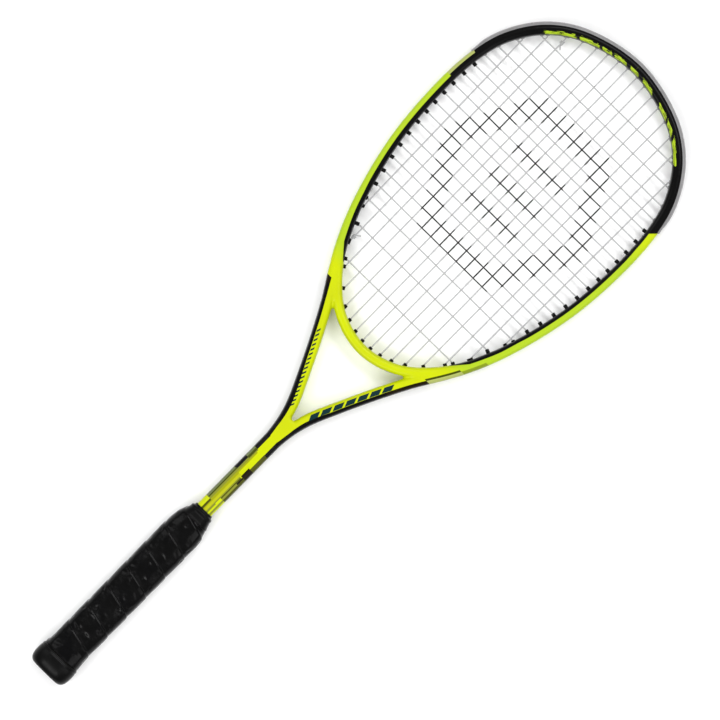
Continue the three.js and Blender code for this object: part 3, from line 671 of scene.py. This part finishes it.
def back_on(shell, exact, blend):
    """Puts the shell back on the exact surface, except where it is blended."""
    group = shell.vertex_groups.new(name="exact")
    for level in range(1, 11):
        members = np.flatnonzero(np.round((1 - blend) * 10) == level)
        group.add(members.tolist(), level / 10, "REPLACE")
    wrap = shell.modifiers.new("wrap", "SHRINKWRAP")
    wrap.target, wrap.vertex_group, wrap.wrap_method = exact, "exact", "NEAREST_SURFACEPOINT"
    applied(shell)


def frame_shell():
    """The hoop, legs, shaft and bridge as one moulding, blended where they meet. Its attributes
    along, across and on_tube carry the tube's own coordinates to the paint."""
    reach = tube.s_at_y(262)
    parts = gathered([
        sweep(tube, -reach, reach, grooved_section(STRIP_END, 1.5)),
        sweep(bridge, -bridge.length, bridge.length, grooved_section(BRIDGE_GROOVE_END, 1)),
        shaft_solid(),
    ])
    exact = mesh_object("exact", *parts)
    shell = mesh_object("frame_shell", *parts)
    remesh = shell.modifiers.new("remesh", "REMESH")
    remesh.mode, remesh.voxel_size, remesh.use_smooth_shade = "VOXEL", VOXEL * MM, True
    applied(shell)

    points = mesh_points(shell.data)
    blend = blend_at(points)
    mean = neighbours_mean(shell.data)
    for _ in range(14):
        points += (mean(points) - points) * (blend * 0.6)[:, None]
    shell.data.vertices.foreach_set("co", (points * MM).ravel())
    back_on(shell, exact, blend)
    bpy.data.objects.remove(exact)

    found = tube_coordinates(mesh_points(shell.data))
    for name, values in zip(("along", "across", "on_tube"), found):
        layer = shell.data.attributes.new(name, "FLOAT", "POINT")
        layer.data.foreach_set("value", values)
    shell.data.polygons.foreach_set("use_smooth", [True] * len(shell.data.polygons))
    return shell


# ---- String ends ----------------------------------------------------------------------------
class End:
    """Where a string passes out of the head on the +X side: the mouth of its barrel inside the
    head, and the s at which the barrel meets the groove of its path."""

    def __init__(self, path, mouth, s):
        self.path, self.mouth, self.s = path, mouth, s
        self.tie = False  # whether a string is tied off here, which takes a wider barrel
        turn = path.flank(s, TURN_DEPTH)
        self.axis = (turn - mouth) / np.linalg.norm(turn - mouth)


def mouth_on(path, proud, axis, value, s0, s1):
    """A barrel's mouth, proud of the inner wall, where its x or y has the value."""

    def mouth(s):
        return path.point(s, -path.at(s)[4] - proud)

    return mouth(path.solve(lambda s: mouth(s)[axis] - value, s0, s1))


def through_tube(mouth, s0, s1):
    """The end of a string that leaves through the tube, square to it."""

    def along(s):
        x, y, ox, oy, *_ = tube.at(s)
        return (mouth[0] - x) * oy - (mouth[1] - y) * ox

    return End(tube, mouth, tube.solve(along, s0, s1))


def through_bridge(x):
    mouth = mouth_on(bridge, PROUD["bridge"], 0, x, 0, 75)
    s = bridge.solve(lambda s: bridge.flank(s, TURN_DEPTH)[0] - x, 0, 75)
    return End(bridge, mouth, s)


HEAD_SIDE, LEG_END = tube.s_at_y(590), tube.s_at_y(318)


def main_foot(i, x):
    """The foot of a main: in the bridge, where it runs into the tube, or in the tube."""
    if i < BRIDGE_MAINS:
        return through_bridge(x)
    if i < HORN_MAINS:
        mouth = mouth_on(bridge, PROUD["bridge"], 0, x, 0, bridge.length * 0.97)
    else:
        mouth = mouth_on(tube, PROUD["tight"], 0, x, tube.s_at_y(540), tube.s_at_y(375))
    return through_tube(mouth, tube.s_at_y(540), LEG_END)


def cross_end(i, y):
    if i == len(CROSSES) - 1:
        mouth = mouth_on(bridge, PROUD["bridge"], 1, y, 0, bridge.length)
    else:
        beside = PROUD["tight"] if i == TIGHT_CROSS else PROUD["side"]
        proud = PROUD["bumper"] if y > BUMPER_END_Y else beside
        mouth = mouth_on(tube, proud, 1, y, 5, tube.s_at_y(380))
    return through_tube(mouth, 5, LEG_END)


TOPS = [
    through_tube(mouth_on(tube, PROUD["bumper"], 0, x, 0, HEAD_SIDE), 0, tube.s_at_y(540))
    for x, _ in MAINS
]
FEET = [main_foot(i, x) for i, (_, x) in enumerate(MAINS)]
ENDS = [cross_end(i, y) for i, y in enumerate(CROSSES)]
TOPS[TIE_TOP].tie = FEET[TIE_FOOT].tie = True


SIDES = {1: "right", -1: "left"}


def flipped(points, side):
    """The points on the side asked for: +1 is the +X side."""
    return np.asarray(points, float) * [side, 1, 1]


# ---- Guard and grommets ---------------------------------------------------------------------
def barrel(end, side, extra):
    """A short round tube along a string's barrel, with a rounded inner lip."""
    outer = BARREL_RADIUS + (TIE_EXTRA if end.tie else 0)
    bore = BORE_RADIUS + (TIE_EXTRA if end.tie else 0)
    start = end.mouth - end.axis * extra
    reach = np.linalg.norm(end.path.flank(end.s, TURN_DEPTH) - start) + TURN_DEPTH - STRIP_TOP
    profile = [(reach, bore), (0.5, bore), (0.12, bore + 0.1), (0, (bore + outer) / 2),
               (0.12, outer - 0.15), (0.45, outer), (reach, outer)]
    across = np.array([-end.axis[1], end.axis[0], 0])
    angle = np.arange(BARREL_SIDES) * 2 * math.pi / BARREL_SIDES
    circle = np.outer(np.cos(angle), across) + np.outer(np.sin(angle), [0, 0, 1])
    rings = [start + end.axis * along + circle * radius for along, radius in profile]
    return flipped(np.vstack(rings), side), tube_faces(len(rings), BARREL_SIDES, loop=True)


def band_section(top, floor, half):
    """A flat strip between two depths, with eased edges."""

    def section(place, s):
        high, low = place[4] - top, place[4] - floor
        e = 0.18
        return np.array([
            (high, -half + e), (high, half - e), (high - e, half), (low + e, half),
            (low, half - e), (low, -half + e), (low + e, -half), (high - e, -half),
        ])

    return section


def bumper_section(place, s):
    """A strip in the groove with a lip each side, which wraps the flank and runs out at the ends."""
    flank = place[4]
    ease = smoothstep(BUMPER_END - abs(s), 0, 14)
    proud = 0.75 + (BUMPER_PROUD - 0.75) * ease
    half = [
        (flank - STRIP_FLOOR, STRIP_HALF), (flank - 0.1, STRIP_HALF), (flank - 0.1, 4.4),
        (flank - 0.42, 6.0), (flank - 1.0, 7.2), (flank - 0.82, 7.55), (flank - 0.35, 7.45),
        (flank + proud * 0.3, 6.9), (flank + proud * 0.68, 6.1), (flank + proud * 0.92, 5.0),
        (flank + proud, 4.0), (flank + proud, 3.0), (flank + proud * 0.9, 2.5),
        (flank + proud * 0.5, CHANNEL_HALF), (flank - STRIP_TOP + 0.3, CHANNEL_HALF),
        (flank - STRIP_TOP, CHANNEL_HALF - 0.3),
    ]
    return np.array([(a, -u) for a, u in half][::-1] + half)


def bumper_guard():
    ends = [e for e in TOPS + ENDS if e.s < BUMPER_END]
    parts = [sweep(tube, -BUMPER_END, BUMPER_END, bumper_section, 1.2)]
    parts += [barrel(e, side, BARREL_EXTRA["bumper"]) for e in ends for side in (1, -1)]
    return mesh_object("bumper_guard_skin", *gathered(parts))


def grommet_strip(side):
    ends = [e for e in ENDS + FEET if e.path is tube and e.s > BUMPER_END]
    section = band_section(STRIP_TOP, STRIP_FLOOR, STRIP_HALF)
    parts = [sweep(tube, side * (BUMPER_END + 0.4), side * (STRIP_END - 1), section)]
    for e in ends:
        near_horn = e in FEET or e in ENDS[-2:]
        parts.append(barrel(e, side, BARREL_EXTRA["bridge" if near_horn else "side"]))
    return mesh_object(f"{SIDES[side]}_strip_skin", *gathered(parts))


def bridge_grommet(i, side):
    end = FEET[i]
    flange = sweep(bridge, side * (end.s - 2.2), side * (end.s + 2.2),
                   band_section(STRIP_TOP, STRIP_FLOOR, 2.5), 0.6)
    name = f"{SIDES[side]}_grommet_skin_{i + 1}"
    return mesh_object(name, *gathered([flange, barrel(end, side, BARREL_EXTRA["bridge"])]))


# ---- Strings --------------------------------------------------------------------------------
def settled(end):
    """Where a tie-off's main string is back in the string plane."""
    return end.mouth + [0, -SETTLE if end.mouth[1] > 560 else SETTLE, 0]


def turn_out(end, lift, to_s):
    """The corners of one string end, from inside the head into the groove."""
    shift = TIE_SHIFT * np.sign(lift) if end.tie else 0
    step = TURN_REACH * np.sign(to_s - end.s)
    points = [end.mouth + [0, 0, shift], end.path.flank(end.s, TURN_DEPTH, shift),
              end.path.flank(end.s + step, LOOP_DEPTH, lift)]
    if end.tie and lift < 0:
        points.insert(0, settled(end))
    return points


def along_groove(path, s0, s1, lift):
    """Points about every 3 mm along the groove, between the two ends."""
    count = max(1, round(abs(s1 - s0) / 3))
    return [path.flank(s, LOOP_DEPTH, lift) for s in np.linspace(s0, s1, count + 1)[1:-1]]


def loop(a, b, side, lift):
    """The corners of a string's way out at one end, along the groove and in at the next."""
    mouths = [a.path.flank(e.s, LOOP_DEPTH, lift) for e in (a, b)]
    clear = [p for p in along_groove(a.path, a.s, b.s, lift)
             if min(np.linalg.norm(p - mouth) for mouth in mouths) > 3]
    points = turn_out(a, lift, b.s) + clear + turn_out(b, lift, a.s)[::-1]
    return list(flipped(points, side))


def hitch(end, side, free):
    """The tail's turns round the main string at a tie-off, and its free end."""
    base = end.mouth + [0, 0, -TIE_SHIFT]
    axis = settled(end) - base
    axis /= np.linalg.norm(axis)
    up = np.array([0, 0, 1]) - axis * axis[2]
    up /= np.linalg.norm(up)
    across = np.cross(axis, up)
    points = []
    for turned in np.linspace(0, HITCH["turns"], int(HITCH["turns"] * 14) + 1):
        angle = turned * 2 * math.pi
        points.append(base + axis * (HITCH["start"] + turned * HITCH["pitch"])
                      + HITCH["radius"] * (up * math.cos(angle) + across * math.sin(angle)))
    points.append(points[-1] + np.array(free) * 0.5)
    points.append(points[-1] + np.array(free) * 0.5 + [0, 0, 0.4])
    return list(flipped(points, side))


HANDOVER = (TOPS[-1].s + ENDS[0].s) / 2


def main_half(side):
    """One side's half of the main string, from the middle of the head outwards."""
    points = list(flipped(turn_out(TOPS[0], -LOOP_SIDE, 0)[::-1], side))
    for i in range(0, len(MAINS), 2):
        points += loop(FEET[i], FEET[i + 1], side, -LOOP_SIDE)
        if i + 2 < len(MAINS):
            points += loop(TOPS[i + 1], TOPS[i + 2], side, -LOOP_SIDE)
    return points + list(flipped(turn_out(TOPS[-1], -LOOP_SIDE, 0), side))


def main_string():
    tie, seven, cross = TOPS[TIE_TOP], TOPS[-2].s, ENDS[0].s
    quarter = (cross - seven) / 4
    tail = [tube.flank(cross - quarter, LOOP_DEPTH, -LOOP_SIDE),
            tube.flank(seven + quarter, LOOP_DEPTH, LOOP_SIDE),
            *along_groove(tube, seven, tie.s + 3, LOOP_SIDE),
            *turn_out(tie, LOOP_SIDE, seven)[::-1]]
    tail = list(flipped(tail, -1)) + hitch(tie, -1, (-3.0, -3.4, 0.6))
    end = tube.flank(HANDOVER + 0.2, LOOP_DEPTH, 0)
    corners = tail[::-1] + main_half(-1)[::-1] + main_half(1) + [end]
    return mesh_object("main_string_skin", *cord(softened(corners, 1.6), STRING_RADIUS))


def mains_at(y):
    """x and order of every main string that reaches height y, from the left to the right."""
    right = []
    for i, (top, foot) in enumerate(zip(TOPS, FEET)):
        if foot.mouth[1] < y < top.mouth[1]:
            share = (y - foot.mouth[1]) / (top.mouth[1] - foot.mouth[1])
            right.append((foot.mouth[0] + (top.mouth[0] - foot.mouth[0]) * share, i))
    return [(-x, -1 - i) for x, i in right[::-1]] + right


def weave(end, row):
    """A cross string from the right to the left, waving over and under the mains."""
    y = end.mouth[1]
    crossings = [(x, WEAVE if (order + row) % 2 == 0 else -WEAVE) for x, order in mains_at(y)[::-1]]
    stops = [(end.mouth[0], 0.0), *crossings, (-end.mouth[0], 0.0)]
    points = []
    for (x0, z0), (x1, z1) in zip(stops[:-1], stops[1:]):
        for t in np.arange(0, 1, 0.125):
            ease = (1 - math.cos(math.pi * t)) / 2
            points.append((x0 + (x1 - x0) * t, y, z0 + (z1 - z0) * ease))
    return points[1:]


def cross_string():
    start = tube.flank(HANDOVER - 0.2, LOOP_DEPTH, 0)
    points = list(softened([start, *turn_out(ENDS[0], LOOP_SIDE, HANDOVER)[::-1]], 1.2))
    for row, end in enumerate(ENDS):
        side = -1 if row % 2 == 0 else 1
        woven = weave(end, row)
        points += woven if side < 0 else woven[::-1]
        if row + 1 < len(ENDS):
            points += list(softened(loop(end, ENDS[row + 1], side, LOOP_SIDE), 1.2))
    tie = FEET[TIE_FOOT]
    tail = loop(ENDS[-1], tie, -1, LOOP_SIDE) + hitch(tie, -1, (-3.4, 2.4, 0.6))
    points += list(softened(tail, 1.2))
    return mesh_object("cross_string_skin", *cord(points, STRING_RADIUS))


# ---- Handle ---------------------------------------------------------------------------------
def rounded_solid(outer, inner, points=128, squareness=HANDLE_SQUARENESS):
    """A closed skin over (y, x, z) stations outside and back along the inside."""
    rings = [np.insert(rounded(x, z, squareness, points), 1, y, axis=1)
             for y, x, z in [*outer, *inner[::-1]]]
    return np.vstack(rings), tube_faces(len(rings), points, loop=True)


# The wrap outside and inside: y, half width, half depth. The pitch and the last seam are where
# the strip's edge crosses the right-hand side.
GRIP_OUTER = [(18.3, 17.4, 15.5), (20, 17.2, 15.3), (24, 16.7, 14.7), (28, 16.2, 14.2),
              (150, 16.2, 14.2), (158, 16.05, 14.2), (163, 15.4, 14.0), (167, 14.85, 13.7),
              (169, 14.4, 13.5), (171, 13.7, 13.3), (173, 12.9, 13.1), (175, 12.1, 12.8),
              (178, 11.2, 12.5)]
GRIP_INNER = [(18.4, 14.8, 13.0), (148, 14.8, 13.0), (163, 12.45, 12.15), (172, 9.4, 10.8),
              (177.9, 8.9, 10.3)]
WRAP = {"pitch": 22.0, "last_seam": 165.5, "swell": 0.25, "overlap": 0.55, "edge": 1.05}
DIMPLES = {"around": 9, "rows": 2, "radius": 2.0, "depth": 0.6, "jitter": 0.2}
HANDLE_RADIUS = 15  # about, to turn an angle into a distance round the handle


def scattered(points, grain, seed):
    """Smooth noise, about -1 to 1, at each point, with features of about this size in mm."""
    return np.array([noise.noise(Vector(p) / grain + Vector((seed, 0, 0))) for p in points]) * 1.6


def dimples(turns, turned, skin):
    """Rows of dimples pressed unevenly into the strip: how deep each point lies."""
    sway = DIMPLES["jitter"] * scattered(skin, 8, 3)
    level = turns * DIMPLES["rows"] - 0.5 + DIMPLES["jitter"] * scattered(skin, 8, 11)
    row = np.round(level)
    place = turned * DIMPLES["around"] + 0.5 * row + sway
    high = (level - row) * WRAP["pitch"] / DIMPLES["rows"]
    wide = (place - np.round(place)) * 2 * math.pi * HANDLE_RADIUS / DIMPLES["around"]
    uneven = np.clip(0.45 + 0.8 * scattered(skin, 11, 23), 0.08, 1)
    return DIMPLES["depth"] * uneven * np.exp(-(high**2 + wide**2) / DIMPLES["radius"] ** 2)


def strip_end(turned):
    """The height where the outer turn stops: along the strip's own edge over the front, then
    down its oblique cut across the back."""
    rise = WRAP["pitch"] * 0.55
    return WRAP["last_seam"] + np.minimum(WRAP["pitch"] * turned, rise * (1 - turned) / 0.45)


def wrap_relief(y, angle, skin):
    """How far the wrap stands up at each point of a ring: overlapping turns of a padded,
    dimpled strip, with the layer beneath showing past its end and tucked under the collar."""
    turned = angle / (2 * math.pi)
    turns = (y - WRAP["last_seam"]) / WRAP["pitch"] - turned
    turn = turns % 1.0
    height = WRAP["overlap"] * (turn * smoothstep(1 - turn, 0, 0.06) - 0.5)
    height += WRAP["swell"] * (0.6 - abs(2 * turn - 1) ** 3)
    height -= dimples(turns, turned, skin) * smoothstep(np.minimum(turn, 1 - turn), 0.03, 0.12)
    height += 0.07 * scattered(skin, 5, 31) + 0.03 * scattered(skin, 2.2, 37)
    past = smoothstep(y - strip_end(turned), -2.6, 1.2)
    tucked = 0.9 * smoothstep(y, 171.2, 172.4)
    return height * smoothstep(y, 18.3, 20.5) * (1 - past) - past * (WRAP["edge"] + tucked)


def grip():
    """A padded strip wound round the handle, each turn overlapping the one before."""
    sides, step = ((288, 0.5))
    stations = np.array(GRIP_OUTER)
    angle = (np.arange(sides) + 0.5) * 2 * math.pi / sides
    outer = []
    for y in np.arange(stations[0, 0], stations[-1, 0], step):
        x, z = (np.interp(y, stations[:, 0], stations[:, i]) for i in (1, 2))
        ring = rounded(x, z, HANDLE_SQUARENESS, sides)
        skin = np.insert(ring, 1, y, axis=1)
        rise = wrap_relief(y, angle, skin) / np.linalg.norm(ring, axis=1)
        outer.append(skin * np.stack([1 + rise, np.ones(sides), 1 + rise], 1))
    inner = [np.insert(rounded(x, z, HANDLE_SQUARENESS, sides), 1, y, axis=1)
             for y, x, z in GRIP_INNER]
    rings = outer + inner[::-1]
    return mesh_object("grip_wrap_skin", np.vstack(rings), tube_faces(len(rings), sides, loop=True))


def butt_cap():
    """The flared cap: rounded rim, a shallow dished end and a fine moulded bead at its top."""
    end = [(0.9, 0.02, 0.02), (0.9, 4, 3.5)]
    outer = catmull_rom([
        (0.9, 8.0, 7.0), (0.5, 10.6, 9.3), (0.1, 11.9, 10.5), (0.02, 12.6, 11.1), (0.3, 14.0, 12.4),
        (1.1, 15.5, 13.7), (2.3, 16.7, 14.8), (4.2, 17.7, 15.6), (7, 18.35, 16.2),
        (11, 18.55, 16.4), (14.5, 18.4, 16.25),
    ], 6)
    bead = [(15.0, 18.3, 16.2), (15.4, 18.0, 15.9), (15.9, 18.0, 15.9), (16.3, 18.2, 16.1),
            (17.4, 18.1, 16.0), (17.9, 17.8, 15.7), (18.0, 17.0, 15.0), (18.05, 14.5, 12.7),
            (31, 14.4, 12.6)]
    inner = [(5.2, 0.02, 0.02), (5.2, 8.0, 7.0), (5.2, 12.7, 11.2), (31, 12.7, 11.2)]
    return mesh_object("butt_cap_skin", *rounded_solid([*end, *outer, *bead], inner))


def grip_collar():
    """The tapered rubber collar that closes the wrap's top end, with a bead round its mouth."""
    outer = catmull_rom([
        (170.9, 11.6, 11.8), (171.0, 12.5, 12.6), (171.6, 12.85, 12.9), (172.4, 12.7, 12.8),
        (173.2, 12.25, 12.6), (175, 11.6, 12.3), (177, 10.95, 12.0), (178, 10.6, 11.75),
        (178.6, 10.6, 11.75), (179.4, 10.65, 11.75), (180.2, 10.45, 11.6), (180.9, 9.8, 11.15),
        (181.5, 9.0, 10.6), (183.15, 8.5, 10.4),
    ], 4)
    inner = [(171, 9.6, 10.9), (173, 8.3, 10.2), (183.1, 8.2, 10.15)]
    return mesh_object("grip_collar_skin", *rounded_solid(outer, inner, squareness=3.1))


# ---- Assembly -------------------------------------------------------------------------------
NYLON = moulded("grommet_nylon", BLACK, 0.4, 0.1, Specular_IOR_Level=0.08)
SMOKE = moulded("bumper_nylon", tone(148, 147, 148), 0.3, 0.1, Coat_Weight=0.2)
RUBBER = moulded("cap_rubber", BLACK, 0.32, 0.2, Specular_IOR_Level=0.08)
STRING = string_finish()

finish_with(frame_shell(), lacquer(), "frame_lacquer", "frame", "throat_bridge")
finish_with(bumper_guard(), SMOKE, "bumper_plastic", "bumper_guard")
for side, word in SIDES.items():
    finish_with(grommet_strip(side), NYLON, "grommet_plastic", f"{word}_grommet_strip")
    for i in range(BRIDGE_MAINS):
        node = f"{word}_bridge_grommet_{i + 1}"
        finish_with(bridge_grommet(i, side), NYLON, "grommet_plastic", node)
finish_with(main_string(), STRING, "string", "main_string")
finish_with(cross_string(), STRING, "string", "cross_string")
finish_with(grip(), wrap_finish(), "grip_wrap", "grip")
finish_with(butt_cap(), RUBBER, "cap_rubber", "butt_cap")
finish_with(grip_collar(), RUBBER, "cap_rubber", "grip_collar")

FOAM = moulded("pallet_foam", (0.55, 0.45, 0.26), 0.8, 0.5)
STEEL = moulded("staple_wire", (0.55, 0.55, 0.57), 0.35, 0.1, Metallic=1.0)
CARRIED = {"handle_pallet": FOAM, "right_cap_staple": STEEL, "left_cap_staple": STEEL}
for node, material in CARRIED.items():
    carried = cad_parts[node]
    carried.data.materials.clear()
    carried.data.materials.append(material)


# ---- Stage ----------------------------------------------------------------------------------
BUTT_REST, HEAD_REST = (11.0, -16.42), (679.8, -9.02)  # y and z of what touches the floor
FLOOR_HALF = 6000


def floor():
    """A wide pale floor, sloped so that the butt cap and the head both lie on it."""
    (y0, z0), (y1, z1) = BUTT_REST, HEAD_REST
    slope = (z1 - z0) / (y1 - y0)
    half = FLOOR_HALF
    corners = [(x, y, z0 + (y - y0) * slope) for x, y in
               ((-half, -half), (half, -half), (half, half), (-half, half))]
    ground = mesh_object("floor", corners, [[0, 1, 2, 3]], smooth=False)
    ground.data.materials.append(floor_finish())


def area_light(name, place, size, power):
    light = bpy.data.lights.new(name, "AREA")
    light.shape, light.size, light.size_y = "RECTANGLE", size[0] * MM, size[1] * MM
    light.energy = power
    lamp = bpy.data.objects.new(name, light)
    lamp.location = Vector(place) * MM
    lamp.rotation_euler = (Vector(LIGHT_TARGET) - Vector(place)).to_track_quat("-Z", "Y").to_euler()
    bpy.context.scene.collection.objects.link(lamp)


# Soft boxes round the stage: where each stands, its size and its power in watts. All face the
# middle of the racket.
LIGHT_TARGET = (0, 350, 0)
LIGHTS = [
    ("head", (0, 1700, 2100), (2000, 700), 35), ("butt", (0, -1000, 2100), (2000, 700), 35),
    ("right", (1500, 350, 1500), (500, 1800), 8), ("left", (-1500, 350, 1500), (500, 1800), 8),
]
BACKDROP = 0.45  # strength of the white surroundings


def studio():
    world = bpy.data.worlds.new("studio")
    world.use_nodes = True
    backdrop = world.node_tree.nodes["Background"]
    backdrop.inputs["Color"].default_value = (1, 1, 1, 1)
    backdrop.inputs["Strength"].default_value = BACKDROP
    scene = bpy.context.scene
    scene.world = world
    scene.view_settings.view_transform = "Standard"
    for name, place, size, power in LIGHTS:
        area_light(name, place, size, power)


# The racket points up and to the right, 44.4 degrees round from the picture's upright.
VIEW_CENTRE, VIEW_WIDTH, VIEW_TURN = (5.0, 356.7), 579.3, 44.43
LENS, SENSOR = 400, 36


def camera():
    data = bpy.data.cameras.new("camera")
    data.lens, data.sensor_width = LENS, SENSOR
    eye = bpy.data.objects.new("camera", data)
    height = VIEW_WIDTH / (SENSOR / LENS)
    eye.location = Vector((*VIEW_CENTRE, height)) * MM
    eye.rotation_euler = (0, 0, math.radians(VIEW_TURN))
    data.clip_start, data.clip_end = 0.05, 50
    bpy.context.scene.collection.objects.link(eye)
    bpy.context.scene.camera = eye


floor()
studio()
camera()
